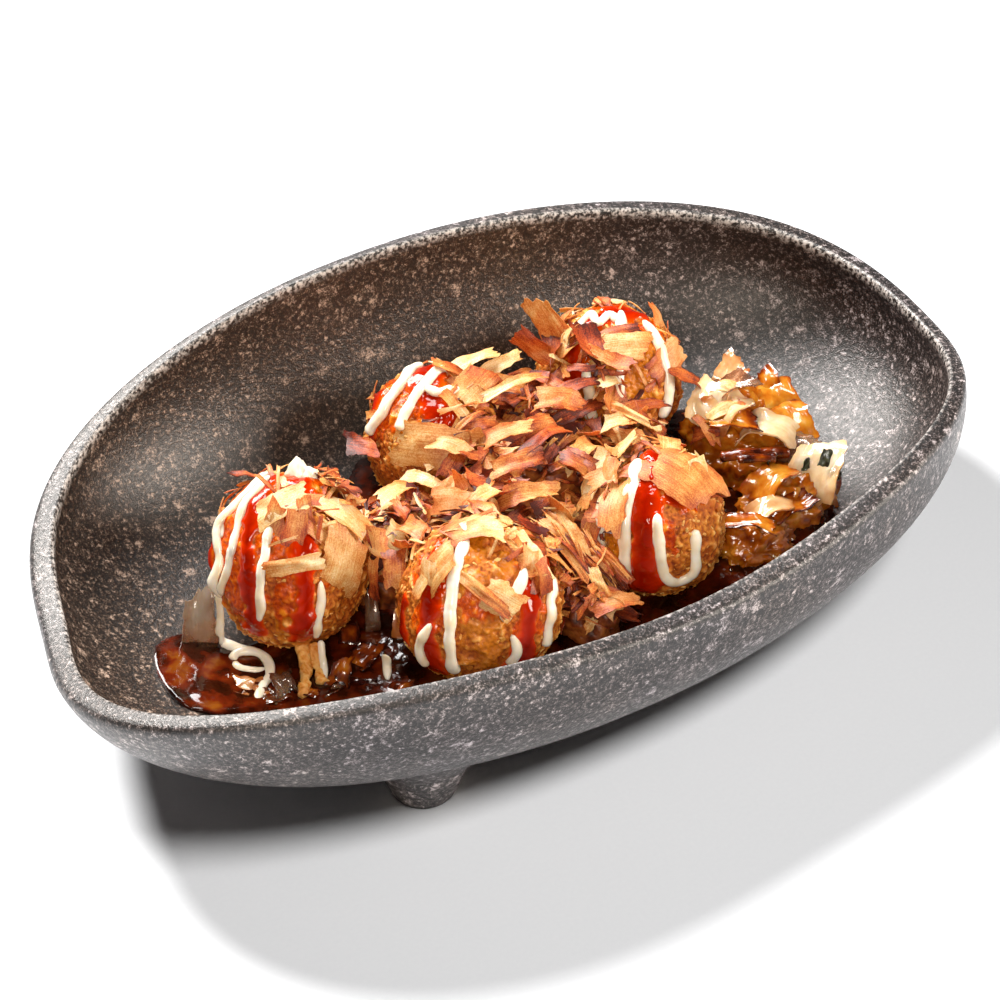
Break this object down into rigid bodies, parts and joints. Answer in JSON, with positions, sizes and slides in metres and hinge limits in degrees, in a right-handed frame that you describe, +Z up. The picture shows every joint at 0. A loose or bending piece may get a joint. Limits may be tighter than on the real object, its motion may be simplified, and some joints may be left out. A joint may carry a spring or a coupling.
{
  "type": "takoyaki balls in an oval stoneware dish",
  "caption": "Crumbed takoyaki balls with sauce, mayonnaise and bonito flakes in a deep oval stoneware dish on short peg feet.",
  "frame": {"origin": "middle of the bounding box of the dish, on the surface that its feet stand on", "axes": "+Z up, +X along the dish's length towards the glazed heap, +Y towards the high side of the rim"},
  "size_m": [0.2651, 0.1641, 0.0709],
  "materials": {
    "dish": "speckled dark grey stoneware, half matt",
    "ball_1": "fried crumb crust with sauce and flakes",
    "ball_2": "fried crumb crust with sauce and flakes",
    "ball_3": "fried crumb crust with sauce and flakes",
    "ball_4": "fried crumb crust with sauce and flakes",
    "ball_5": "fried crumb crust with sauce and flakes",
    "flake_heap": "dry shaved fish flakes",
    "glazed_heap": "flakes wet with brown sauce",
    "sauce_pool": "wet brown-red sauce"
  },
  "bodies": {
    "root": {"dish": "dish", "ball_1": "ball_1", "ball_2": "ball_2", "ball_3": "ball_3", "ball_4": "ball_4", "ball_5": "ball_5", "flake_heap": "flake_heap", "glazed_heap": "glazed_heap", "sauce_pool": "sauce_pool"}
  },
  "joints": []
}
